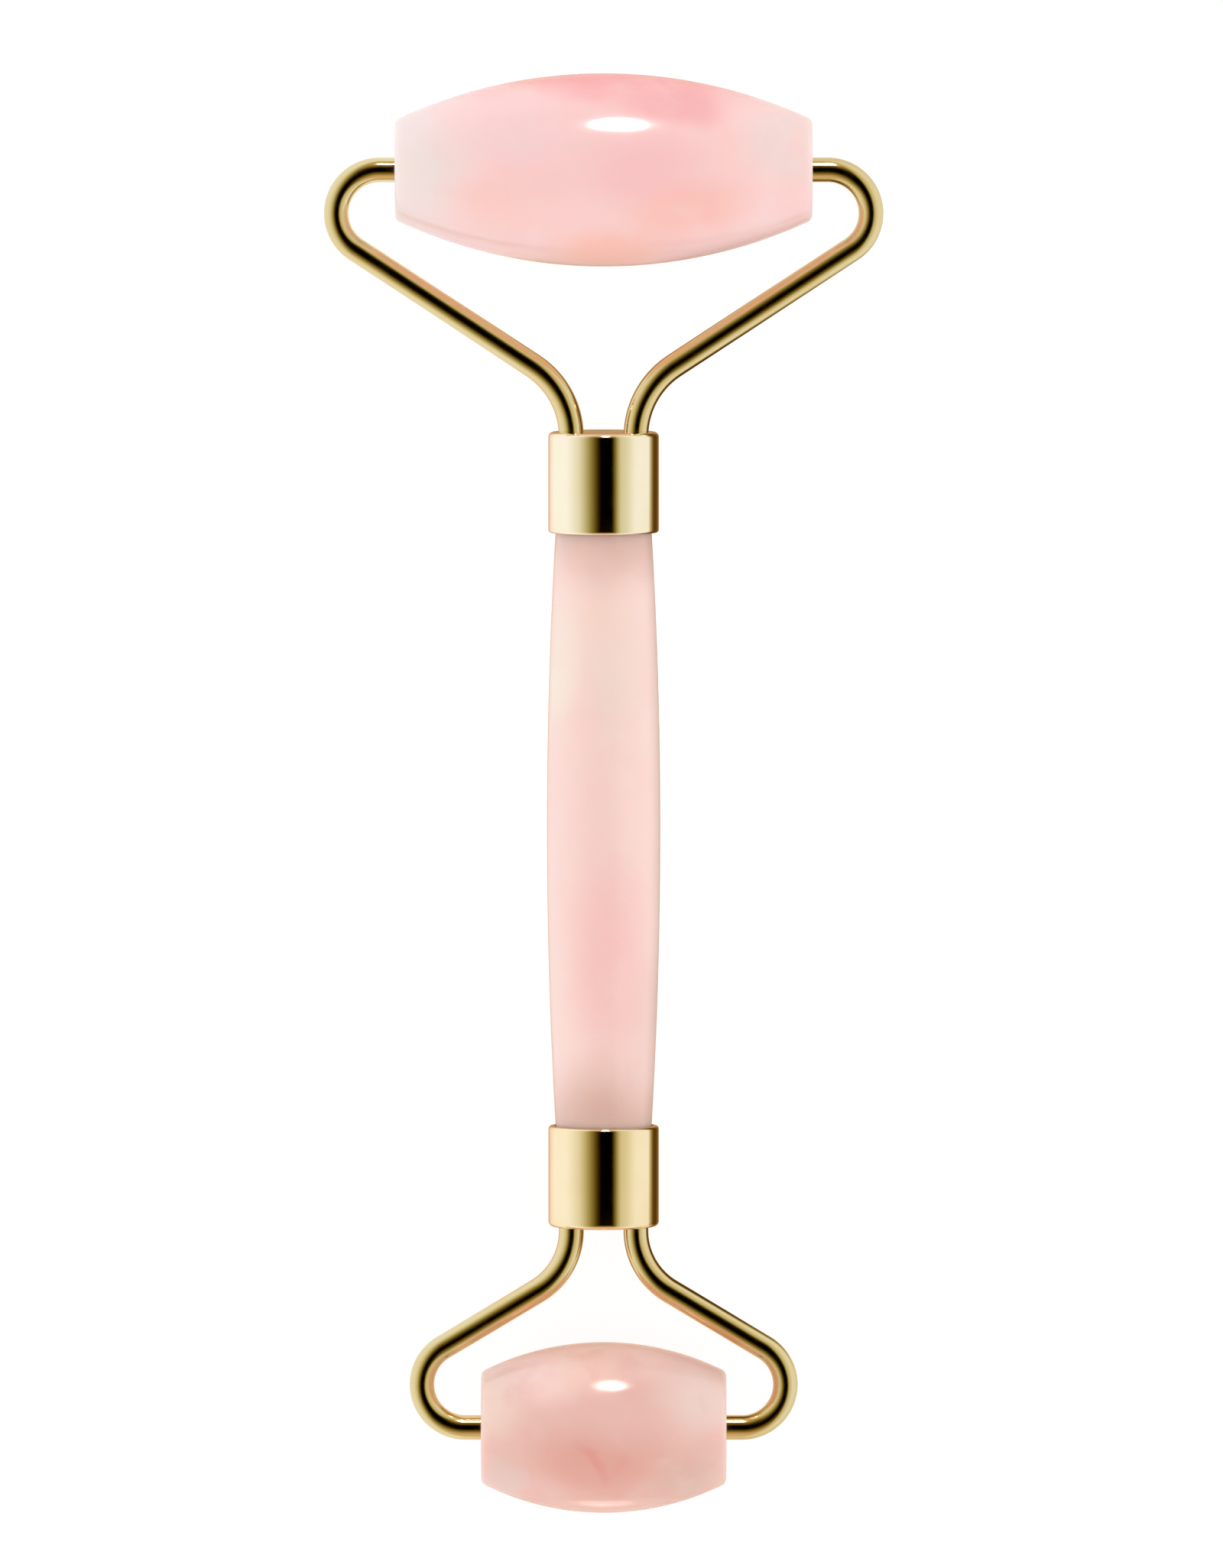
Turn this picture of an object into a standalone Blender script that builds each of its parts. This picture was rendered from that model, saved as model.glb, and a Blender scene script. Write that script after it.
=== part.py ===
"""A two-stone face roller: a stone handle with a gold end cup and a pair of bent wire arms at each
end, and a barrel-shaped stone turning between each pair of arms.

The roller lies on its two stones. +X runs along the stones, +Y along the handle towards the large
stone, +Z up, and the origin is under the middle of the tool, on the surface it lies on. The stones
differ in radius, so the tool's own axis rises a little towards the large stone.
"""
import math

import bpy
from mathutils import Vector

COLLECTION_NAME = "face_roller"
CUTTER_COLLECTION_NAME = "face_roller_cutters"

# Whole tool
OVERALL_LENGTH = 0.1450

# Stones: the crown is the arc that the barrel shape is turned to
LARGE_STONE_RADIUS = 0.0097
LARGE_STONE_LENGTH = 0.0419
LARGE_STONE_CROWN_RADIUS = 0.0493
SMALL_STONE_RADIUS = 0.0086
SMALL_STONE_LENGTH = 0.0247
SMALL_STONE_CROWN_RADIUS = 0.0270
STONE_EDGE_RADIUS = 0.0008
STONE_BORE_RADIUS = 0.00225
STONE_BORE_DEPTH = 0.0084

# Nylon sleeves in the stones' bores
BUSH_OUTER_RADIUS = 0.00200
BUSH_INNER_RADIUS = 0.00142
BUSH_LENGTH = 0.0060
BUSH_RECESS = 0.0001

# Wire arms, in the tool's own plane; reach is from the tool's axis to the wire's outermost middle
WIRE_RADIUS = 0.00125
LEG_OFFSET = 0.00325
SHOULDER_RADIUS = 0.00435
PIN_DEPTH = 0.0075
LARGE_ARM = {"reach": 0.02684, "inner_bend_radius": 0.0085, "slope": math.radians(33.3)}
SMALL_ARM = {"reach": 0.01830, "inner_bend_radius": 0.0071, "slope": math.radians(31.0)}
BEND_STEP = math.radians(7.0)
SHOULDER_STEP = math.radians(10.5)
WIRE_BEVEL_RESOLUTION = 4

# End cups
FERRULE_RADIUS = 0.00555
FERRULE_LENGTH = 0.01015
FERRULE_BORE_RADIUS = 0.00510
FERRULE_BORE_DEPTH = 0.0058
FERRULE_EDGE_RADIUS = 0.0005
FERRULE_HOLE_RADIUS = 0.00145
ARM_END_RECESS = 0.0003
UPPER_FERRULE_END = 0.0365
LOWER_FERRULE_END = -0.04355

# Handle
HANDLE_MIDDLE_RADIUS = 0.0057
HANDLE_END_RADIUS = 0.0049
HANDLE_END_CHAMFER = 0.0004
GLUE_THICKNESS = 0.0005
ASSEMBLY_GAP = 0.0003

ROUND_SEGMENTS = 48
BUSH_SEGMENTS = 24
CROWN_STEPS = 14
EDGE_STEPS = 3
MERGE_DISTANCE = 0.000001
SHARP_ANGLE = math.radians(35.0)

# Where the stones' axes come from: both stones touch the floor and the tool is centred on Y
LARGE_AXLE = Vector((0.0, OVERALL_LENGTH / 2 - LARGE_STONE_RADIUS, LARGE_STONE_RADIUS))
SMALL_AXLE = Vector((0.0, SMALL_STONE_RADIUS - OVERALL_LENGTH / 2, SMALL_STONE_RADIUS))
TOOL_TILT = math.atan2(LARGE_AXLE.z - SMALL_AXLE.z, LARGE_AXLE.y - SMALL_AXLE.y)
TOOL_CENTRE_HEIGHT = LARGE_AXLE.z - LARGE_AXLE.y * math.tan(TOOL_TILT)
LARGE_AXLE_ALONG_TOOL = LARGE_AXLE.y / math.cos(TOOL_TILT)
SMALL_AXLE_ALONG_TOOL = SMALL_AXLE.y / math.cos(TOOL_TILT)

ALONG_X = (0.0, math.pi / 2, 0.0)
TOWARDS_LARGE_STONE = (-math.pi / 2, 0.0, 0.0)
TOWARDS_SMALL_STONE = (math.pi / 2, 0.0, 0.0)


def clear_scene():
    for obj in list(bpy.data.objects):
        bpy.data.objects.remove(obj, do_unlink=True)


def new_collection(name):
    collection = bpy.data.collections.new(name)
    bpy.context.scene.collection.children.link(collection)
    return collection


def new_material(name, colour, roughness, metallic=0.0):
    material = bpy.data.materials.new(name)
    material.use_nodes = True
    shader = material.node_tree.nodes["Principled BSDF"]
    shader.inputs["Base Color"].default_value = (*colour, 1.0)
    shader.inputs["Roughness"].default_value = roughness
    shader.inputs["Metallic"].default_value = metallic
    return material


def new_empty(name, collection, location, rotation=(0.0, 0.0, 0.0)):
    empty = bpy.data.objects.new(name, None)
    empty.location = location
    empty.rotation_euler = rotation
    collection.objects.link(empty)
    return empty


def arc(centre, radius, start, end, steps):
    """Points on an arc in a plane, both ends included."""
    points = []
    for step in range(steps + 1):
        angle = start + (end - start) * step / steps
        points.append((centre[0] + radius * math.cos(angle), centre[1] + radius * math.sin(angle)))
    return points


def turned_piece(name, profile, material, collection, segments=ROUND_SEGMENTS):
    """A solid turned about its own Z from a profile of (radius, height) points."""
    mesh = bpy.data.meshes.new(name)
    vertices = [(radius, 0.0, height) for radius, height in profile]
    edges = [(index, index + 1) for index in range(len(profile) - 1)]
    mesh.from_pydata(vertices, edges, [])
    mesh.materials.append(material)
    piece = bpy.data.objects.new(name, mesh)
    collection.objects.link(piece)
    screw = piece.modifiers.new("turn", "SCREW")
    screw.axis = "Z"
    screw.steps = segments
    screw.render_steps = segments
    screw.use_merge_vertices = True
    screw.merge_threshold = MERGE_DISTANCE
    screw.use_smooth_shade = True
    return piece


def place(piece, parent, location, rotation=(0.0, 0.0, 0.0)):
    piece.parent = parent
    piece.location = location
    piece.rotation_euler = rotation


def stone_profile(radius, length, crown_radius):
    """A barrel with rounded edges, flat ends and a blind bore in each end, from top to bottom."""
    half = length / 2
    crown_centre = (radius - crown_radius, 0.0)
    # The edge arc touches the end face and the crown, so its centre is this far along both
    edge_height = half - STONE_EDGE_RADIUS
    reach = crown_radius - STONE_EDGE_RADIUS
    edge_angle = math.asin(edge_height / reach)
    edge_radius = crown_centre[0] + reach * math.cos(edge_angle)
    bore_floor = half - STONE_BORE_DEPTH
    points = [(0.0, bore_floor), (STONE_BORE_RADIUS, bore_floor), (STONE_BORE_RADIUS, half)]
    points += arc((edge_radius, edge_height), STONE_EDGE_RADIUS, math.pi / 2, edge_angle, EDGE_STEPS)
    points += arc(crown_centre, crown_radius, edge_angle, -edge_angle, CROWN_STEPS)[1:]
    points += arc((edge_radius, -edge_height), STONE_EDGE_RADIUS, -edge_angle, -math.pi / 2, EDGE_STEPS)[1:]
    points += [(STONE_BORE_RADIUS, -half), (STONE_BORE_RADIUS, -bore_floor), (0.0, -bore_floor)]
    return points


def bush_profile():
    """A plain sleeve, from its outer top edge down and back up the bore."""
    top = BUSH_LENGTH / 2
    corners = [(BUSH_OUTER_RADIUS, top), (BUSH_OUTER_RADIUS, -top)]
    corners += [(BUSH_INNER_RADIUS, -top), (BUSH_INNER_RADIUS, top), (BUSH_OUTER_RADIUS, top)]
    return corners


def build_roller(name, axle, radius, length, crown_radius, stone, nylon, collection):
    """One stone with a sleeve in each end, all turning about the empty on its axle."""
    centre = new_empty(name + "_axle", collection, axle)
    body = turned_piece(name + "_stone", stone_profile(radius, length, crown_radius), stone, collection)
    place(body, centre, (0.0, 0.0, 0.0), ALONG_X)
    bush_middle = length / 2 - BUSH_RECESS - BUSH_LENGTH / 2
    for side, sign in (("left", -1), ("right", 1)):
        bush = turned_piece(name + "_bush_" + side, bush_profile(), nylon, collection, BUSH_SEGMENTS)
        place(bush, centre, (sign * bush_middle, 0.0, 0.0), ALONG_X)


def handle_profile(half_visible, insertion):
    """The handle about its middle: a slight barrel that runs straight on into the two cups."""
    drop = HANDLE_MIDDLE_RADIUS - HANDLE_END_RADIUS
    crown_radius = (half_visible ** 2 + drop ** 2) / (2 * drop)
    crown_angle = math.asin(half_visible / crown_radius)
    crown_centre = (HANDLE_MIDDLE_RADIUS - crown_radius, 0.0)
    end = half_visible + insertion
    face_radius = HANDLE_END_RADIUS - HANDLE_END_CHAMFER
    upper_end = [(0.0, end), (face_radius, end), (HANDLE_END_RADIUS, end - HANDLE_END_CHAMFER)]
    crown = arc(crown_centre, crown_radius, crown_angle, -crown_angle, CROWN_STEPS)
    lower_end = [(radius, -height) for radius, height in reversed(upper_end)]
    return upper_end + crown + lower_end


def ferrule_profile():
    """A cup about its own Z: closed thick head on top, open at the bottom."""
    bore_floor = FERRULE_LENGTH - FERRULE_BORE_DEPTH
    head = (FERRULE_RADIUS - FERRULE_EDGE_RADIUS, -FERRULE_EDGE_RADIUS)
    points = [(0.0, 0.0)]
    points += arc(head, FERRULE_EDGE_RADIUS, math.pi / 2, 0.0, EDGE_STEPS)
    points += [(FERRULE_RADIUS, -FERRULE_LENGTH), (FERRULE_BORE_RADIUS, -FERRULE_LENGTH)]
    points += [(FERRULE_BORE_RADIUS, -bore_floor), (0.0, -bore_floor)]
    return points


def glue_profile():
    top = GLUE_THICKNESS / 2
    rim = FERRULE_BORE_RADIUS - ASSEMBLY_GAP
    return [(0.0, top), (rim, top), (rim, -top), (0.0, -top)]


def drill_leg_holes(ferrule, cutters):
    """Two holes through the cup's head for the arms' legs."""
    for side, sign in (("left", -1), ("right", 1)):
        bpy.ops.mesh.primitive_cylinder_add(vertices=BUSH_SEGMENTS, radius=FERRULE_HOLE_RADIUS,
                                            depth=FERRULE_LENGTH * 2)
        cutter = bpy.context.active_object
        cutter.name = ferrule.name + "_hole_" + side
        for owner in list(cutter.users_collection):
            owner.objects.unlink(cutter)
        cutters.objects.link(cutter)
        cutter.hide_render = True
        cutter.display_type = "WIRE"
        place(cutter, ferrule, (sign * LEG_OFFSET, 0.0, 0.0))
        drill = ferrule.modifiers.new("leg_hole_" + side, "BOOLEAN")
        drill.operation = "DIFFERENCE"
        drill.solver = "EXACT"
        drill.object = cutter


def build_ferrule(name, end, rotation, gold, glue, tool, collection, cutters):
    """An end cup, and the disc of glue that lies on the bottom of its bore."""
    outward = 1 if end > 0 else -1
    ferrule = turned_piece(name + "_ferrule", ferrule_profile(), gold, collection)
    place(ferrule, tool, (0.0, end, 0.0), rotation)
    drill_leg_holes(ferrule, cutters)
    bore_floor = end - outward * (FERRULE_LENGTH - FERRULE_BORE_DEPTH)
    disc = turned_piece(name + "_glue_disc", glue_profile(), glue, collection, BUSH_SEGMENTS)
    place(disc, tool, (0.0, bore_floor - outward * (ASSEMBLY_GAP + GLUE_THICKNESS / 2), 0.0), rotation)


def build_handle(stone, tool, collection):
    upper_lip = UPPER_FERRULE_END - FERRULE_LENGTH
    lower_lip = LOWER_FERRULE_END + FERRULE_LENGTH
    insertion = FERRULE_BORE_DEPTH - GLUE_THICKNESS - 2 * ASSEMBLY_GAP
    profile = handle_profile((upper_lip - lower_lip) / 2, insertion)
    handle = turned_piece("handle_stone", profile, stone, collection)
    place(handle, tool, (0.0, (upper_lip + lower_lip) / 2, 0.0), TOWARDS_LARGE_STONE)


def arm_route(arm, axle_distance, leg_start, pin_end):
    """Points of one arm on the +X side, from its leg in the cup to its pin in the stone.

    Heights are distances along the tool from its middle. The leg runs straight out, the inner bend
    turns it outwards onto the slope, and the shoulder turns it back onto the stone's axis.
    """
    slope = arm["slope"]
    bend_radius = arm["inner_bend_radius"]
    shoulder = (arm["reach"] - SHOULDER_RADIUS, axle_distance - SHOULDER_RADIUS)
    # Distance of the sloping stretch from the tool's middle, measured square to the slope
    offset = shoulder[1] * math.cos(slope) - shoulder[0] * math.sin(slope) - SHOULDER_RADIUS
    bend_x = LEG_OFFSET + bend_radius
    bend_y = (offset + bend_x * math.sin(slope) - bend_radius) / math.cos(slope)
    bend_steps = math.ceil((math.pi / 2 - slope) / BEND_STEP)
    shoulder_steps = math.ceil((math.pi - slope) / SHOULDER_STEP)
    points = [(LEG_OFFSET, leg_start)]
    points += arc((bend_x, bend_y), bend_radius, math.pi, math.pi / 2 + slope, bend_steps)
    points += arc(shoulder, SHOULDER_RADIUS, slope - math.pi / 2, math.pi / 2, shoulder_steps)
    points.append((pin_end, axle_distance))
    return points


def build_arm(name, route, x_sign, y_sign, gold, tool, collection):
    """One bent wire: a round tube on its route, mirrored to its own side and end of the tool."""
    curve = bpy.data.curves.new(name, "CURVE")
    curve.dimensions = "3D"
    curve.bevel_depth = WIRE_RADIUS
    curve.bevel_resolution = WIRE_BEVEL_RESOLUTION
    curve.use_fill_caps = True
    spline = curve.splines.new("POLY")
    spline.points.add(len(route) - 1)
    for point, (across, along) in zip(spline.points, route):
        point.co = (x_sign * across, y_sign * along, 0.0, 1.0)
    spline.use_smooth = True
    curve.materials.append(gold)
    arm = bpy.data.objects.new(name, curve)
    collection.objects.link(arm)
    place(arm, tool, (0.0, 0.0, 0.0))


def build_frame(name, arm, axle_distance, ferrule_end, stone_length, y_sign, gold, tool, collection):
    """The two arms that carry one stone."""
    head = FERRULE_LENGTH - FERRULE_BORE_DEPTH
    leg_start = abs(ferrule_end) - head + ARM_END_RECESS
    route = arm_route(arm, axle_distance, leg_start, stone_length / 2 - PIN_DEPTH)
    for side, x_sign in (("left", -1), ("right", 1)):
        build_arm(name + "_arm_" + side, route, x_sign, y_sign, gold, tool, collection)


def main():
    clear_scene()
    collection = new_collection(COLLECTION_NAME)
    cutters = new_collection(CUTTER_COLLECTION_NAME)
    roller_stone = new_material("roller_stone", (0.84, 0.55, 0.49), 0.16)
    handle_stone = new_material("handle_stone", (0.86, 0.66, 0.57), 0.16)
    gold = new_material("pale_gold", (0.86, 0.66, 0.32), 0.12, 1.0)
    nylon = new_material("nylon", (0.85, 0.84, 0.80), 0.45)
    glue = new_material("glue", (0.80, 0.74, 0.60), 0.30)

    tool = new_empty("tool_axis", collection, (0.0, 0.0, TOOL_CENTRE_HEIGHT), (TOOL_TILT, 0.0, 0.0))
    build_roller("large", LARGE_AXLE, LARGE_STONE_RADIUS, LARGE_STONE_LENGTH,
                 LARGE_STONE_CROWN_RADIUS, roller_stone, nylon, collection)
    build_roller("small", SMALL_AXLE, SMALL_STONE_RADIUS, SMALL_STONE_LENGTH,
                 SMALL_STONE_CROWN_RADIUS, roller_stone, nylon, collection)
    build_handle(handle_stone, tool, collection)
    build_ferrule("upper", UPPER_FERRULE_END, TOWARDS_LARGE_STONE, gold, glue, tool, collection, cutters)
    build_ferrule("lower", LOWER_FERRULE_END, TOWARDS_SMALL_STONE, gold, glue, tool, collection, cutters)
    build_frame("large", LARGE_ARM, LARGE_AXLE_ALONG_TOOL, UPPER_FERRULE_END,
                LARGE_STONE_LENGTH, 1, gold, tool, collection)
    build_frame("small", SMALL_ARM, -SMALL_AXLE_ALONG_TOOL, LOWER_FERRULE_END,
                SMALL_STONE_LENGTH, -1, gold, tool, collection)


main()
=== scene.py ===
import math

import bpy
from mathutils import Matrix, Vector


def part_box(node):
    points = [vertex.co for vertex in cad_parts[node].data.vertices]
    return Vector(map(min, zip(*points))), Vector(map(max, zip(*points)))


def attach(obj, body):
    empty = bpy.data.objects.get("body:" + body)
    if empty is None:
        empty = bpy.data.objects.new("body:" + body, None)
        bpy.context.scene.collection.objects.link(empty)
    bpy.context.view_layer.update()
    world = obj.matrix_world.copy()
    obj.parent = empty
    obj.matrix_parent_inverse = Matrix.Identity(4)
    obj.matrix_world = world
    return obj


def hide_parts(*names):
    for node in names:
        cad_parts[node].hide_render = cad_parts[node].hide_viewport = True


# Shapes and looks of the two-stone face roller. It lies on its stones: X along the stones, Y along
# the handle towards the large stone, Z up. Sizes are in metres.

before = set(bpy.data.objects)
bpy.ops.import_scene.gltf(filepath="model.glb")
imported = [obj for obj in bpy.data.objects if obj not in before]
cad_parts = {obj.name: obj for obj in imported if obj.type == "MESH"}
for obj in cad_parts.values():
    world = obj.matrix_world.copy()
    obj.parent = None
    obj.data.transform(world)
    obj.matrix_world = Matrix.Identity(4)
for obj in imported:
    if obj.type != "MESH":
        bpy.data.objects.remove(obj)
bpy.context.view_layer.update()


def boxMiddle(node):
    low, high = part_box(node)
    return (low + high) / 2


largeAxle = boxMiddle("large_stone")
smallAxle = boxMiddle("small_stone")
toolTilt = math.atan2(largeAxle.z - smallAxle.z, largeAxle.y - smallAxle.y)
toolMiddle = Vector((0.0, 0.0, largeAxle.z - largeAxle.y * math.tan(toolTilt)))
intoTool = Matrix.Translation(toolMiddle) @ Matrix.Rotation(toolTilt, 4, "X")
alongX = Matrix.Rotation(math.pi / 2, 4, "Y")           # a turned piece's own Z goes to the right
towardsLarge = Matrix.Rotation(-math.pi / 2, 4, "X")    # its Z goes along the handle
towardsSmall = Matrix.Rotation(math.pi / 2, 4, "X")


def alongTool(point):
    # How far a point is from the tool's middle, measured along the handle
    return (intoTool.inverted() @ point).y


# General modelling steps

mergeDistance = 0.000001
smoothAngle = math.radians(32)      # edges sharper than this stay crisp


def selectOnly(piece=None):
    if bpy.context.mode != "OBJECT":
        bpy.ops.object.mode_set(mode="OBJECT")
    bpy.ops.object.select_all(action="DESELECT")
    if piece is not None:
        piece.select_set(True)
        bpy.context.view_layer.objects.active = piece


def arc(centre, radius, start, end, steps):
    points = []
    for step in range(steps + 1):
        angle = start + (end - start) * step / steps
        points.append((centre[0] + radius * math.cos(angle), centre[1] + radius * math.sin(angle)))
    return points


def turnPiece(name, outline, sides, sleeve=False):
    # A ring is drawn out along its own Z through the outline's (radius, height) stations.
    # A sleeve's outline comes back to its first station and is joined there; any other piece is
    # closed by a face at both ends.
    selectOnly()
    radius, height = outline[0]
    bpy.ops.mesh.primitive_circle_add(vertices=sides, radius=radius, location=(0, 0, height),
                                      fill_type="NOTHING" if sleeve else "NGON")
    piece = bpy.context.active_object
    piece.name = name
    piece.data.name = name
    bpy.ops.object.transform_apply(location=True, rotation=False, scale=False)
    bpy.ops.object.mode_set(mode="EDIT")
    bpy.ops.mesh.select_all(action="SELECT")
    for nextRadius, nextHeight in outline[1:]:
        bpy.ops.mesh.extrude_region_move(
            TRANSFORM_OT_translate={"value": (0, 0, nextHeight - height)})
        factor = nextRadius / radius
        bpy.ops.transform.resize(value=(factor, factor, 1), center_override=(0, 0, nextHeight))
        radius, height = nextRadius, nextHeight
    bpy.ops.mesh.select_all(action="SELECT")
    if sleeve:
        bpy.ops.mesh.remove_doubles(threshold=mergeDistance)
    bpy.ops.mesh.normals_make_consistent(inside=False)
    bpy.ops.object.mode_set(mode="OBJECT")
    return piece


def putInPlace(piece, matrix, crispAngle=smoothAngle):
    # The object stays at the origin; its place goes into its mesh
    selectOnly(piece)
    piece.matrix_world = matrix
    bpy.context.view_layer.update()
    bpy.ops.object.transform_apply(location=True, rotation=True, scale=True)
    bpy.ops.object.shade_smooth_by_angle(angle=crispAngle)


def finishPiece(piece, material, body, slot, *nodes):
    piece.data.materials.clear()
    piece.data.materials.append(material)
    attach(piece, body)
    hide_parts(*nodes)


# Materials

def newMaterial(name):
    material = bpy.data.materials.new(name)
    material.use_nodes = True
    return material, material.node_tree


def addNode(tree, kind, inputs=(), **settings):
    node = tree.nodes.new(kind)
    for key, value in settings.items():
        setattr(node, key, value)
    for key, value in dict(inputs).items():
        if isinstance(value, bpy.types.NodeSocket):
            tree.links.new(value, node.inputs[key])
        else:
            node.inputs[key].default_value = value
    return node


def mathNode(tree, operation, first, second=0.0, third=0.0):
    node = addNode(tree, "ShaderNodeMath", {0: first, 1: second, 2: third}, operation=operation)
    return node.outputs[0]


def rampNode(tree, factor, low, high, toLow=0.0, toHigh=1.0):
    # A smooth step between two values
    node = addNode(tree, "ShaderNodeMapRange", {"Value": factor, "From Min": low, "From Max": high,
                                                "To Min": toLow, "To Max": toHigh})
    node.interpolation_type = "SMOOTHSTEP"
    return node.outputs["Result"]


def mixColours(tree, factor, first, second):
    node = addNode(tree, "ShaderNodeMix", data_type="RGBA")
    for number, value in ((0, factor), (6, first), (7, second)):
        socket = node.inputs[number]
        if isinstance(value, bpy.types.NodeSocket):
            tree.links.new(value, socket)
        else:
            socket.default_value = value
    return node.outputs[2]


def noiseNode(tree, coordinates, scale, detail=3.0, roughness=0.5, distortion=0.0):
    node = addNode(tree, "ShaderNodeTexNoise",
                   {"Vector": coordinates, "Scale": scale, "Detail": detail,
                    "Roughness": roughness, "Distortion": distortion})
    return node.outputs["Fac"]


def patternCoordinates(tree, centre, stretch=(1, 1, 1)):
    # Object coordinates, centred on the piece
    source = addNode(tree, "ShaderNodeTexCoord").outputs["Object"]
    moved = addNode(tree, "ShaderNodeMapping", {"Vector": source, "Location": [-v for v in centre]})
    stretched = addNode(tree, "ShaderNodeMapping", {"Vector": moved.outputs[0], "Scale": stretch})
    return stretched.outputs[0]


def addBump(tree, shader, height, strength, distance):
    bump = addNode(tree, "ShaderNodeBump",
                   {"Strength": strength, "Distance": distance, "Height": height})
    tree.links.new(bump.outputs[0], shader.inputs["Normal"])


def colour(red, green, blue):
    # Screen colour, 0 to 255, to the linear value that a shader takes
    def linear(value):
        value = value / 255
        return value / 12.92 if value <= 0.04045 else ((value + 0.055) / 1.055) ** 2.4
    return (linear(red), linear(green), linear(blue), 1.0)


# What all pieces of one material share. A pair is where a soft step starts and ends, or the least
# and the most of what it gives
stoneFinish = {
    "patchEdge": (0.25, 1.15), "milkSpread": (0.52, 0.78), "blushSpread": (0.50, 0.75),
    "blushFineness": 1.7, "polishScale": 420.0, "polishSpread": (0.25, 0.8),
    "roughness": (0.11, 0.18), "rippleScale": 130.0, "rippleStrength": 0.10,
    "rippleHeight": 0.0004, "ior": 1.54, "reflectionTint": (0.88, 0.84, 0.80, 1.0),
    "depthByColour": (1.0, 0.62, 0.55),
}
goldFinish = {
    "cloudScale": 160.0, "cloudSpread": (0.35, 0.75), "smearScale": 600.0,
    "smearSpread": (0.3, 0.8), "hairScale": 2600.0, "hairHeight": 0.00002,
}
resinFinish = {
    "cloudScale": 500.0, "cloudSpread": (0.3, 0.7), "grainStrength": 0.15,
    "grainHeight": 0.00003, "lightShare": 0.3,
}


def roseQuartz(name, look):
    # Milky stone: one main colour and soft patches drifting through it. Most patches are clouds of
    # other tones; those the look marks are painted light and painted shade. Then small-scale
    # unevenness, and a polish that lets the light a few millimetres in
    material, tree = newMaterial(name)
    shader = tree.nodes["Principled BSDF"]
    plain = patternCoordinates(tree, look["centre"])
    warp = addNode(tree, "ShaderNodeTexNoise", {"Vector": plain, "Scale": look["driftScale"],
                                                "Detail": 3.0, "Roughness": 0.55})
    offset = addNode(tree, "ShaderNodeVectorMath", {0: warp.outputs["Color"], 1: (0.5, 0.5, 0.5)},
                     operation="SUBTRACT")
    drifted = addNode(tree, "ShaderNodeVectorMath",
                      {0: offset.outputs[0], 1: [look["drift"]] * 3, 2: plain},
                      operation="MULTIPLY_ADD").outputs[0]
    tone = look["main"]
    for place, reach, patchColour, share, *turn in look["cloudsAndPaintedLight"]:
        middle = [part * half for part, half in zip(place, look["size"])]
        lean = math.radians(turn[0]) if turn else 0.0
        local = addNode(tree, "ShaderNodeMapping",
                        {"Vector": drifted, "Location": middle, "Rotation": (0.0, 0.0, lean),
                         "Scale": [distance / 1000 for distance in reach]}, vector_type="TEXTURE")
        distance = addNode(tree, "ShaderNodeVectorMath", {0: local.outputs[0]}, operation="LENGTH")
        patchWeight = rampNode(tree, distance.outputs["Value"], *stoneFinish["patchEdge"], share, 0.0)
        tone = mixColours(tree, patchWeight, tone, patchColour)
    milk = noiseNode(tree, plain, look["milkScale"], detail=4.0, roughness=0.55, distortion=0.5)
    milk = rampNode(tree, milk, *stoneFinish["milkSpread"], 0.0, look["milkShare"])
    tone = mixColours(tree, milk, tone, look["milk"])
    blush = noiseNode(tree, drifted, look["milkScale"] * stoneFinish["blushFineness"],
                      distortion=0.3)
    blush = rampNode(tree, blush, *stoneFinish["blushSpread"], 0.0, look["blushShare"])
    tone = mixColours(tree, blush, tone, look["blush"])
    tree.links.new(tone, shader.inputs["Base Color"])
    polish = noiseNode(tree, plain, stoneFinish["polishScale"], detail=4.0, roughness=0.6)
    tree.links.new(rampNode(tree, polish, *stoneFinish["polishSpread"], *stoneFinish["roughness"]),
                   shader.inputs["Roughness"])
    ripple = noiseNode(tree, plain, stoneFinish["rippleScale"], detail=2.0, roughness=0.4)
    addBump(tree, shader, ripple, stoneFinish["rippleStrength"], stoneFinish["rippleHeight"])
    shader.inputs["IOR"].default_value = stoneFinish["ior"]
    shader.inputs["Specular Tint"].default_value = stoneFinish["reflectionTint"]
    shader.subsurface_method = "RANDOM_WALK"
    shader.inputs["Subsurface Weight"].default_value = 1.0
    shader.inputs["Subsurface Radius"].default_value = stoneFinish["depthByColour"]
    shader.inputs["Subsurface Scale"].default_value = look["lightDepth"]
    return material


def paleGold(name, look):
    # Polished plating: a little cloudiness in the polish, fine hairlines, and a slightly redder
    # gold where the plating is thin
    material, tree = newMaterial(name)
    shader = tree.nodes["Principled BSDF"]
    plain = patternCoordinates(tree, look["centre"])
    patchWeight = noiseNode(tree, plain, goldFinish["cloudScale"])
    thin = rampNode(tree, patchWeight, *goldFinish["cloudSpread"])
    tree.links.new(mixColours(tree, thin, look["gold"], look["thin"]), shader.inputs["Base Color"])
    smear = noiseNode(tree, plain, goldFinish["smearScale"], detail=4.0, roughness=0.6)
    tree.links.new(rampNode(tree, smear, *goldFinish["smearSpread"], *look["roughness"]),
                   shader.inputs["Roughness"])
    stretched = patternCoordinates(tree, look["centre"], look["hairStretch"])
    hairs = noiseNode(tree, stretched, goldFinish["hairScale"], detail=2.0)
    addBump(tree, shader, hairs, look["hairStrength"], goldFinish["hairHeight"])
    shader.inputs["Metallic"].default_value = 1.0
    return material


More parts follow.
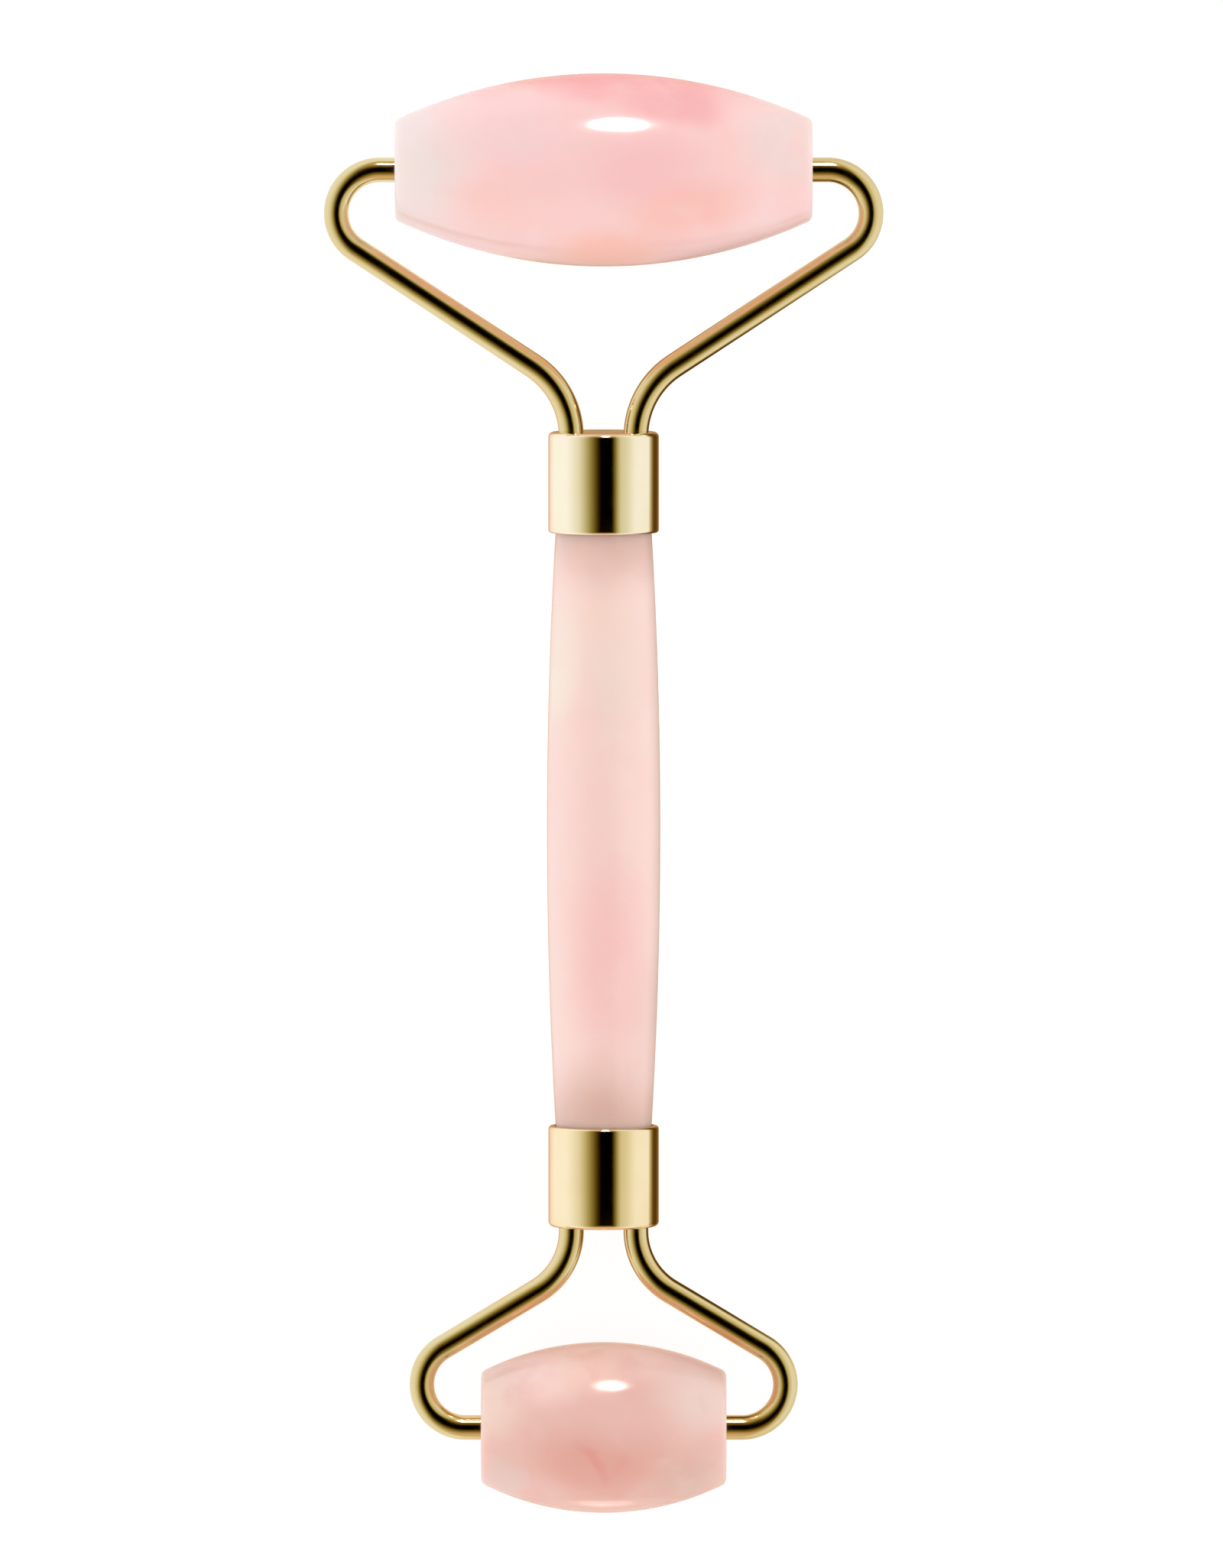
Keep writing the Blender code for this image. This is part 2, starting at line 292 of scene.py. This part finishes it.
def plainResin(name, look):
    # Moulded nylon or cured glue: a faintly uneven colour and surface
    material, tree = newMaterial(name)
    shader = tree.nodes["Principled BSDF"]
    coordinates = patternCoordinates(tree, (0, 0, 0))
    patchWeight = noiseNode(tree, coordinates, resinFinish["cloudScale"])
    tree.links.new(mixColours(tree, patchWeight, *look["tones"]), shader.inputs["Base Color"])
    tree.links.new(rampNode(tree, patchWeight, *resinFinish["cloudSpread"], *look["roughness"]),
                   shader.inputs["Roughness"])
    addBump(tree, shader, patchWeight, resinFinish["grainStrength"], resinFinish["grainHeight"])
    shader.inputs["Subsurface Weight"].default_value = resinFinish["lightShare"]
    shader.inputs["Subsurface Scale"].default_value = look["lightDepth"]
    return material


# Stones

largeStone = {
    "radius": 0.0097, "length": 0.0419, "crownRadius": 0.0493, "edge": 0.0008,
    "bore": 0.00204, "boreDepth": 0.0084, "boreLip": 0.00012, "sides": 144, "crownSteps": 56,
    "edgeSteps": 8,
}
smallStone = {
    "radius": 0.0086, "length": 0.0247, "crownRadius": 0.0270, "edge": 0.0008,
    "bore": 0.00204, "boreDepth": 0.0084, "boreLip": 0.00012, "sides": 144, "crownSteps": 44,
    "edgeSteps": 8,
}


def stoneOutline(size):
    half = size["length"] / 2
    crownRadius = size["crownRadius"]
    edge = size["edge"]
    edgeAngle = math.asin((half - edge) / (crownRadius - edge))
    crownMiddle = size["radius"] - crownRadius
    edgeMiddle = crownMiddle + (crownRadius - edge) * math.cos(edgeAngle)
    boreFloor = half - size["boreDepth"]
    lip = size["boreLip"]
    boreEnd = [(size["bore"], boreFloor), (size["bore"], half - lip), (size["bore"] + lip, half)]
    edgeArc = arc((edgeMiddle, half - edge), edge, math.pi / 2, edgeAngle, size["edgeSteps"])
    crown = arc((crownMiddle, 0.0), crownRadius, edgeAngle, -edgeAngle, size["crownSteps"])
    upper = boreEnd + edgeArc
    lower = [(radius, -height) for radius, height in reversed(upper)]
    return upper + crown[1:-1] + lower


def makeStone(name, size, axle, material, body, slot, node):
    piece = turnPiece(name, stoneOutline(size), size["sides"])
    putInPlace(piece, Matrix.Translation(axle) @ alongX)
    finishPiece(piece, material, body, slot, node)


def halfSize(size):
    # Half the stone's box, which its clouds are placed in
    return (size["length"] / 2, size["radius"], size["radius"])


# Each patch is a cloud of the stone's own tone, unless the comment above it says what light or
# shade
# it paints: its place as shares of the stone's half-length and radii, its reach along X, Y and Z in
# millimetres, its colour, how much of the colour it gives at its heart, and for a slanting one its
# turn about Z in degrees
largeStoneLook = {
    "centre": largeAxle, "size": halfSize(largeStone),
    "main": colour(249, 209, 207),
    "cloudsAndPaintedLight": [
        # painted light: the left end made paler and whiter than the stone's own colour
        ((-1.00, 0.10, 0.60), (9.0, 10.0, 12.0), colour(233, 223, 220), 0.95),
        ((-0.50, 0.38, 0.85), (8.0, 3.8, 6.0), colour(239, 212, 213), 0.75),
        ((0.98, 0.36, 0.70), (9.0, 6.8, 8.0), colour(230, 214, 210), 0.85),
        ((0.10, 1.00, 0.20), (19.0, 3.4, 9.0), colour(243, 170, 175), 0.95),
        ((0.35, 0.72, 0.60), (6.0, 3.6, 5.0), colour(240, 176, 178), 0.85),
        ((0.18, 0.05, 1.00), (7.0, 5.0, 5.0), colour(249, 198, 199), 0.75),
        # this patch and the next: painted glow, a warmer, more peach lower side that stands in for
        # light coming through the stone
        ((0.42, -0.50, 0.80), (8.0, 4.2, 6.0), colour(247, 193, 183), 0.75),
        ((0.05, -0.85, 0.50), (8.0, 3.4, 5.0), colour(247, 191, 175), 0.70),
        ((-0.55, -0.45, 0.80), (6.0, 4.0, 6.0), colour(245, 206, 198), 0.50),
        ((-0.10, 0.10, -1.00), (9.0, 6.0, 5.0), colour(246, 194, 189), 0.60),
        ((0.55, -0.10, -0.80), (6.0, 6.0, 6.0), colour(241, 219, 215), 0.60),
    ],
    "milk": colour(247, 224, 222), "milkScale": 95.0, "milkShare": 0.35,
    "blush": colour(247, 189, 187), "blushShare": 0.22,
    "drift": 0.007, "driftScale": 70.0, "lightDepth": 0.0030,
}
smallStoneLook = {
    "centre": smallAxle, "size": halfSize(smallStone),
    "main": colour(232, 193, 184),
    "cloudsAndPaintedLight": [
        ((-1.00, 0.45, 0.50), (5.0, 6.5, 8.0), colour(237, 215, 204), 0.80),
        # painted light: a lighter band along the top that makes up for the shade of the arms and
        # cup
        ((0.00, 1.00, 0.25), (14.0, 3.6, 8.0), colour(248, 209, 200), 0.80),
        ((0.80, 0.40, 0.70), (5.5, 5.0, 7.0), colour(233, 210, 202), 0.90),
        ((-0.48, 0.66, 0.70), (5.0, 3.8, 5.0), colour(247, 217, 211), 0.80),
        ((-0.10, 0.78, 0.60), (5.0, 3.0, 5.0), colour(248, 210, 197), 0.60),
        ((-0.05, -0.46, 0.85), (9.5, 5.6, 5.6), colour(223, 170, 157), 0.85),
        ((-0.10, -0.36, 0.90), (0.9, 3.2, 3.0), colour(224, 152, 146), 0.50, 24.0),
        ((0.11, -0.34, 0.90), (0.9, 2.8, 3.0), colour(225, 158, 151), 0.30, -36.0),
        ((-0.90, -0.60, 0.50), (3.8, 3.8, 5.0), colour(222, 197, 186), 0.70),
        ((0.72, -0.64, 0.60), (6.0, 4.2, 6.0), colour(216, 180, 166), 0.80),
        ((0.10, 0.00, -1.00), (6.0, 6.0, 4.0), colour(226, 177, 168), 0.60),
    ],
    "milk": colour(236, 214, 207), "milkScale": 120.0, "milkShare": 0.35,
    "blush": colour(224, 164, 155), "blushShare": 0.30,
    "drift": 0.006, "driftScale": 90.0, "lightDepth": 0.0024,
}
makeStone("large_roller_stone", largeStone, largeAxle,
          roseQuartz("largeRoseQuartz", largeStoneLook),
          "large_roller", "roller_stone", "large_stone")
makeStone("small_roller_stone", smallStone, smallAxle,
          roseQuartz("smallRoseQuartz", smallStoneLook),
          "small_roller", "small_roller_stone", "small_stone")
print("stones made")

# Nylon sleeves that the pins turn in

sleeve = {"outer": 0.00200, "inner": 0.00131, "length": 0.0060, "chamfer": 0.00012, "sides": 48}
nylonLook = {"tones": (colour(238, 234, 226), colour(226, 220, 208)),
             "roughness": (0.38, 0.52), "lightDepth": 0.0006}


def sleeveOutline():
    top = sleeve["length"] / 2
    cut = sleeve["chamfer"]
    corners = [(sleeve["inner"] + cut, top), (sleeve["outer"] - cut, top),
               (sleeve["outer"], top - cut)]
    around = corners + [(radius, -height) for radius, height in reversed(corners)]
    return around + [(sleeve["inner"], cut - top), (sleeve["inner"], top - cut), corners[0]]


nylon = plainResin("nylon", nylonLook)
for stoneName in ("large", "small"):
    for sideName in ("left", "right"):
        node = f"{stoneName}_bush_{sideName}"
        bush = turnPiece(f"{stoneName}_nylon_sleeve_{sideName}", sleeveOutline(),
                         sleeve["sides"], sleeve=True)
        putInPlace(bush, Matrix.Translation(boxMiddle(node)) @ alongX)
        finishPiece(bush, nylon, f"{stoneName}_roller", "nylon", node)
print("sleeves made")

# Handle

handle = {
    "middleRadius": 0.0057, "endRadius": 0.00483, "visibleHalf": 0.029875, "endChamfer": 0.0004,
    "sides": 128, "crownSteps": 60,
}
handleMiddle = alongTool(boxMiddle("handle_stone"))
handleLow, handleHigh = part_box("handle_stone")
handleHalf = (handleHigh.y - handleLow.y) / 2 / math.cos(toolTilt)


def handleOutline():
    drop = handle["middleRadius"] - handle["endRadius"]
    crownRadius = (handle["visibleHalf"] ** 2 + drop ** 2) / (2 * drop)
    angle = math.asin(handle["visibleHalf"] / crownRadius)
    crown = arc((handle["middleRadius"] - crownRadius, 0.0), crownRadius, angle, -angle,
                handle["crownSteps"])
    cut = handle["endChamfer"]
    upper = [(handle["endRadius"] - cut, handleHalf), (handle["endRadius"], handleHalf - cut)]
    lower = [(radius, -height) for radius, height in reversed(upper)]
    return upper + crown + lower


handleLook = {
    "centre": intoTool @ Vector((0, handleMiddle, 0)),
    "size": (handle["middleRadius"], handle["visibleHalf"], handle["middleRadius"]),
    "main": colour(242, 215, 208),
    "cloudsAndPaintedLight": [
        # painted shade and painted gold reflection: darker, mauve beige under the upper cup
        ((0.00, 1.05, 0.30), (12.0, 7.4, 12.0), colour(218, 182, 170), 0.95),
        ((0.00, 0.74, 0.70), (4.5, 4.5, 6.0), colour(240, 216, 203), 0.50),
        ((0.80, -0.62, 0.50), (3.2, 8.0, 5.0), colour(232, 202, 193), 0.60),
        ((-0.70, 0.55, 0.40), (3.0, 9.0, 6.0), colour(238, 228, 214), 0.80),
        ((0.30, 0.50, 0.60), (4.0, 9.0, 6.0), colour(232, 214, 204), 0.60),
        ((0.10, -0.42, 0.80), (6.0, 13.0, 5.0), colour(241, 197, 193), 0.75),
        ((-0.20, 0.05, 0.80), (4.0, 8.0, 5.0), colour(239, 208, 204), 0.60),
        # painted shade and painted gold reflection: darker beige next to the lower cup
        ((0.00, -1.05, 0.30), (12.0, 9.0, 12.0), colour(216, 181, 168), 0.95),
        ((0.10, 0.20, -0.90), (5.0, 12.0, 4.0), colour(236, 202, 198), 0.60),
    ],
    "milk": colour(242, 226, 218), "milkScale": 85.0, "milkShare": 0.30,
    "blush": colour(238, 198, 192), "blushShare": 0.20,
    "drift": 0.006, "driftScale": 80.0, "lightDepth": 0.0026,
}
handleStone = turnPiece("handle_grip_stone", handleOutline(), handle["sides"])
putInPlace(handleStone, intoTool @ Matrix.Translation((0, handleMiddle, 0)) @ towardsLarge)
finishPiece(handleStone, roseQuartz("handleRoseQuartz", handleLook), "handle", "handle_stone",
            "handle_stone")
print("handle made")

# Gold cups at the handle's ends

cup = {
    "radius": 0.00555, "length": 0.01015, "edge": 0.00052, "lip": 0.00030, "bore": 0.00494,
    "headThickness": 0.00435, "holeRadius": 0.00129, "sides": 160, "edgeSteps": 8, "lipSteps": 6,
    "holeSides": 64,
}
wire = {
    "radius": 0.00125, "legOffset": 0.00325, "shoulderRadius": 0.00435, "pinDepth": 0.0075,
    "endRecess": 0.0003, "ringSegments": 12, "stepAngle": math.radians(2.5),
    "smoothAngle": math.radians(40),
}


def cupOutline():
    edge = cup["edge"]
    lip = cup["lip"]
    radius = cup["radius"]
    length = cup["length"]
    outline = arc((radius - edge, -edge), edge, math.pi / 2, 0.0, cup["edgeSteps"])
    outline += arc((radius - lip, lip - length), lip, 0.0, -math.pi / 2, cup["lipSteps"])
    outline += [(cup["bore"], -length), (cup["bore"], -cup["headThickness"])]
    return outline


def drillLegHoles(piece):
    # The drill reaches from above the head into the cup's hollow
    for side in (-1, 1):
        selectOnly()
        bpy.ops.mesh.primitive_cylinder_add(vertices=cup["holeSides"], radius=cup["holeRadius"],
                                            depth=cup["headThickness"] * 3,
                                            location=(side * wire["legOffset"], 0, 0))
        drill = bpy.context.active_object
        hole = piece.modifiers.new("legHole", "BOOLEAN")
        hole.operation = "DIFFERENCE"
        hole.solver = "EXACT"
        hole.object = drill
        selectOnly(piece)
        bpy.ops.object.modifier_apply(modifier=hole.name)
        bpy.data.objects.remove(drill)


cupGold = {
    "upper": {"gold": (0.975, 0.878, 0.657, 1.0), "thin": (0.965, 0.845, 0.592, 1.0)},
    "lower": {"gold": (0.975, 0.813, 0.526, 1.0), "thin": (0.955, 0.769, 0.460, 1.0)},
    "both": {"roughness": (0.06, 0.11), "hairStretch": (0.08, 1.0, 0.08), "hairStrength": 0.05},
}
for place, turn, sign in (("upper", towardsLarge, 1), ("lower", towardsSmall, -1)):
    node = f"{place}_ferrule"
    middle = alongTool(boxMiddle(node))
    end = middle + sign * cup["length"] / 2
    look = {**cupGold[place], **cupGold["both"], "centre": boxMiddle(node)}
    ferrule = turnPiece(f"{place}_gold_cup", cupOutline(), cup["sides"])
    drillLegHoles(ferrule)
    putInPlace(ferrule, intoTool @ Matrix.Translation((0, end, 0)) @ turn)
    finishPiece(ferrule, paleGold(f"{place}CupGold", look), "handle", "gold", node)
print("cups made")

# Bent wire arms

largeArm = {"reach": 0.02684, "bendRadius": 0.0085, "slope": math.radians(33.3)}
smallArm = {"reach": 0.01830, "bendRadius": 0.0071, "slope": math.radians(31.0)}


def armRoute(arm, axleDistance, legStart, pinEnd):
    # One arm on the right-hand side, from its leg in the cup to its pin in the stone
    slope = arm["slope"]
    bendRadius = arm["bendRadius"]
    shoulderRadius = wire["shoulderRadius"]
    shoulder = (arm["reach"] - shoulderRadius, axleDistance - shoulderRadius)
    offset = shoulder[1] * math.cos(slope) - shoulder[0] * math.sin(slope) - shoulderRadius
    bendX = wire["legOffset"] + bendRadius
    bendY = (offset + bendX * math.sin(slope) - bendRadius) / math.cos(slope)
    bendSteps = math.ceil((math.pi / 2 - slope) / wire["stepAngle"])
    shoulderSteps = math.ceil((math.pi - slope) / wire["stepAngle"])
    points = [(wire["legOffset"], legStart)]
    points += arc((bendX, bendY), bendRadius, math.pi, math.pi / 2 + slope, bendSteps)
    points += arc(shoulder, shoulderRadius, slope - math.pi / 2, math.pi / 2, shoulderSteps)
    points.append((pinEnd, axleDistance))
    return points


def bendWire(name, route, sideSign, endSign):
    curve = bpy.data.curves.new(name, "CURVE")
    curve.dimensions = "3D"
    curve.bevel_depth = wire["radius"]
    curve.bevel_resolution = wire["ringSegments"]
    curve.use_fill_caps = True
    spline = curve.splines.new("POLY")
    spline.points.add(len(route) - 1)
    for point, (across, along) in zip(spline.points, route):
        point.co = (sideSign * across, endSign * along, 0.0, 1.0)
    arm = bpy.data.objects.new(name, curve)
    bpy.context.scene.collection.objects.link(arm)
    selectOnly(arm)
    bpy.ops.object.convert(target="MESH")
    arm = bpy.context.active_object
    bpy.ops.object.mode_set(mode="EDIT")
    bpy.ops.mesh.select_all(action="SELECT")
    bpy.ops.mesh.remove_doubles(threshold=mergeDistance)
    bpy.ops.mesh.normals_make_consistent(inside=False)
    bpy.ops.object.mode_set(mode="OBJECT")
    return arm


wireLook = {
    "gold": (0.79, 0.66, 0.35, 1.0), "thin": (0.78, 0.61, 0.29, 1.0), "centre": toolMiddle,
    "roughness": (0.09, 0.16), "hairStretch": (0.5, 0.5, 0.5), "hairStrength": 0.02,
}
wireGold = paleGold("wireGold", wireLook)
for stoneName, arm, axle, cupName, stone, endSign in (
        ("large", largeArm, largeAxle, "upper", largeStone, 1),
        ("small", smallArm, smallAxle, "lower", smallStone, -1)):
    cupEnd = abs(alongTool(boxMiddle(f"{cupName}_ferrule"))) + cup["length"] / 2
    legStart = cupEnd - cup["headThickness"] + wire["endRecess"]
    route = armRoute(arm, abs(alongTool(axle)), legStart, stone["length"] / 2 - wire["pinDepth"])
    for sideName, sideSign in (("left", -1), ("right", 1)):
        piece = bendWire(f"{stoneName}_wire_arm_{sideName}", route, sideSign, endSign)
        putInPlace(piece, intoTool, wire["smoothAngle"])
        finishPiece(piece, wireGold, "handle", "gold", f"{stoneName}_arm_{sideName}")
print("wire arms made")

# The glue discs keep their shape, deep in the cups, and get a look of their own
glueLook = {"tones": (colour(226, 214, 178), colour(212, 196, 156)),
            "roughness": (0.2, 0.35), "lightDepth": 0.0005}
resin = plainResin("curedGlue", glueLook)
for node in ("upper_glue_disc", "lower_glue_disc"):
    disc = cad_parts[node]
    disc.data.materials.clear()
    disc.data.materials.append(resin)

# Floor, light and camera

white = (1.0, 1.0, 1.0, 1.0)
studio = {
    "floorSize": 3.0, "floorShade": 0.35, "floorRoughness": 0.9, "floorGlow": 0.74,
    "tentLight": 1.06, "cardDistance": 0.62, "cardAngle": math.radians(59.5), "cardSide": 0.034,
    "cardSize": (0.130, 0.180), "cardPower": 1.35,
    "cardPeaks": (1.0, 1.02, 1.08),
}
# The floor as the polished pieces reflect it. A step is where it starts and ends, in metres across
# or along, and how bright the floor is at both; warmth is how much of the tint it takes
floorReflection = {
    "left": (-0.013, -0.005, 0.50, 0.0), "right": (0.004, 0.014, 0.50, 0.10),
    "farRight": (0.012, 0.044, 0.0, 0.95), "ends": (0.045, 0.056, 0.0, 0.85),
    "warmth": (0.009, 0.022, 1.0, 0.0), "tint": (1.0, 0.76, 0.62, 1.0), "fade": (1.0, 1.3, 2.15),
    "glintPlace": (0.0, -0.094), "glintReach": (0.006, 0.009), "glintEdge": (0.6, 1.2),
    "glintPower": 2.2,
}
# The tent as they reflect it. A step is the angles from overhead between which it brightens, in
# degrees, and by how much
tentReflection = {
    "left": ((-4, -58, 0.75), (-40, -90, 0.25)), "right": ((16, 40, 0.70), (38, 76, 0.25)),
    "near": ((-8, -72, 0.75),), "far": ((15, 75, 0.60),),
    "warmth": (0.0, 0.3), "tint": (1.0, 0.80, 0.70, 1.0), "fade": (1.0, 1.17, 2.15),
}
view = {
    "lens": 500.0, "sensor": 36.0, "height": 0.15768, "lean": math.radians(3.0),
    "target": (0.00079, 0.00104), "clip": (0.01, 20.0),
}


def cardLight(tree, level, fade, warmth, tint):
    # White cards that turn warmer as they fall into shade, and take the tint where it is warm
    shares = {}
    for number, (power, peak) in enumerate(zip(fade, studio["cardPeaks"])):
        shares[number] = mathNode(tree, "MULTIPLY", mathNode(tree, "POWER", level, power), peak)
    cards = addNode(tree, "ShaderNodeCombineColor", shares).outputs[0]
    tinted = addNode(tree, "ShaderNodeVectorMath",
                     {0: cards, 1: mixColours(tree, warmth, white, tint)}, operation="MULTIPLY")
    return tinted.outputs[0]


def mixForReflections(tree, plain, reflected, output):
    # Reflections see one shader, and everything else the other
    path = addNode(tree, "ShaderNodeLightPath")
    both = addNode(tree, "ShaderNodeMixShader", {0: path.outputs["Is Glossy Ray"],
                                                 1: plain.outputs[0], 2: reflected.outputs[0]})
    tree.links.new(both.outputs[0], tree.nodes[output].inputs["Surface"])


def makeFloor():
    # White and nearly shadowless. In the gold it is half lit under the object, dark to its right
    # and bright again beyond, warm close to it, with a small glint past the small stone
    selectOnly()
    bpy.ops.mesh.primitive_plane_add(size=studio["floorSize"], location=(0, 0, 0))
    floor = bpy.context.active_object
    floor.name = "pale_floor"
    material, tree = newMaterial("paleFloor")
    shader = tree.nodes["Principled BSDF"]
    shader.inputs["Base Color"].default_value = (*[studio["floorShade"]] * 3, 1.0)
    shader.inputs["Roughness"].default_value = studio["floorRoughness"]
    shader.inputs["Specular IOR Level"].default_value = 0.0
    shader.inputs["Emission Color"].default_value = white
    shader.inputs["Emission Strength"].default_value = studio["floorGlow"]
    place = addNode(tree, "ShaderNodeTexCoord").outputs["Object"]
    parts = addNode(tree, "ShaderNodeSeparateXYZ", {"Vector": place})
    shade = floorReflection
    sideways = parts.outputs["X"]
    near = mathNode(tree, "ADD", rampNode(tree, sideways, *shade["left"]),
                    rampNode(tree, sideways, *shade["right"]))
    far = rampNode(tree, sideways, *shade["farRight"])
    ends = rampNode(tree, mathNode(tree, "ABSOLUTE", parts.outputs["Y"]), *shade["ends"])
    level = mathNode(tree, "MAXIMUM", mathNode(tree, "MAXIMUM", near, far), ends)
    local = addNode(tree, "ShaderNodeMapping",
                    {"Vector": place, "Location": (*shade["glintPlace"], 0.0),
                     "Scale": (*shade["glintReach"], 1.0)}, vector_type="TEXTURE")
    distance = addNode(tree, "ShaderNodeVectorMath", {0: local.outputs[0]}, operation="LENGTH")
    glint = rampNode(tree, distance.outputs["Value"], *shade["glintEdge"], 1.0, 0.0)
    warmth = rampNode(tree, mathNode(tree, "ABSOLUTE", sideways), *shade["warmth"])
    cards = cardLight(tree, mathNode(tree, "MAXIMUM", level, glint), shade["fade"], warmth,
                      shade["tint"])
    power = mathNode(tree, "MULTIPLY_ADD", glint, shade["glintPower"], 1.0)
    reflected = addNode(tree, "ShaderNodeEmission", {"Color": cards, "Strength": power})
    mixForReflections(tree, shader, reflected, "Material Output")
    floor.data.materials.append(material)


def makeSurround():
    # A white tent. In the gold it shows a dark slot overhead, where the camera looks in
    world = bpy.data.worlds.new("tent")
    bpy.context.scene.world = world
    world.use_nodes = True
    world.cycles.sampling_method = "NONE"
    tree = world.node_tree
    plain = tree.nodes["Background"]
    plain.inputs["Color"].default_value = white
    path = addNode(tree, "ShaderNodeLightPath")
    tree.links.new(mathNode(tree, "MAXIMUM", path.outputs["Is Camera Ray"], studio["tentLight"]),
                   plain.inputs["Strength"])
    direction = addNode(tree, "ShaderNodeTexCoord").outputs["Generated"]
    parts = addNode(tree, "ShaderNodeSeparateXYZ", {"Vector": direction})
    sideways = mathNode(tree, "ARCTAN2", parts.outputs["X"], parts.outputs["Z"])
    lengthways = mathNode(tree, "ARCTAN2", parts.outputs["Y"], parts.outputs["Z"])

    shade = tentReflection

    def brightness(angle, side):
        level = 0.0
        for start, stop, height in shade[side]:
            step = rampNode(tree, angle, math.radians(start), math.radians(stop), 0.0, height)
            level = mathNode(tree, "ADD", step, level)
        return level

    sides = mathNode(tree, "MAXIMUM", brightness(sideways, "left"), brightness(sideways, "right"))
    ends = mathNode(tree, "MAXIMUM", brightness(lengthways, "near"), brightness(lengthways, "far"))
    warmth = rampNode(tree, mathNode(tree, "SUBTRACT", ends, sides), *shade["warmth"])
    cards = cardLight(tree, mathNode(tree, "MAXIMUM", sides, ends), shade["fade"], warmth,
                      shade["tint"])
    reflected = addNode(tree, "ShaderNodeBackground", {"Color": cards})
    mixForReflections(tree, plain, reflected, "World Output")


def makeCard():
    light = bpy.data.lights.new("highCard", "AREA")
    light.shape = "ELLIPSE"
    light.size, light.size_y = studio["cardSize"]
    light.energy = studio["cardPower"]
    card = bpy.data.objects.new("highCard", light)
    bpy.context.scene.collection.objects.link(card)
    angle = studio["cardAngle"]
    away = Vector((0, math.sin(angle), math.cos(angle))) * studio["cardDistance"]
    away.x = studio["cardSide"]
    card.location = away
    card.rotation_euler = away.to_track_quat("Z", "Y").to_euler()
    card.visible_diffuse = False        # it only puts the bright spot on the polish


def makeCamera():
    camera = bpy.data.cameras.new("camera")
    camera.lens = view["lens"]
    camera.sensor_width = view["sensor"]
    camera.sensor_fit = "AUTO"
    camera.clip_start, camera.clip_end = view["clip"]
    holder = bpy.data.objects.new("camera", camera)
    bpy.context.scene.collection.objects.link(holder)
    distance = view["height"] * view["lens"] / view["sensor"]
    target = Vector((*view["target"], toolMiddle.z))
    away = Vector((0, math.sin(view["lean"]), math.cos(view["lean"])))
    holder.location = target + away * distance
    holder.rotation_euler = (-view["lean"], 0.0, 0.0)
    bpy.context.scene.camera = holder


makeFloor()
makeSurround()
makeCard()
makeCamera()
bpy.context.scene.view_settings.view_transform = "Standard"
print("floor, light and camera set")
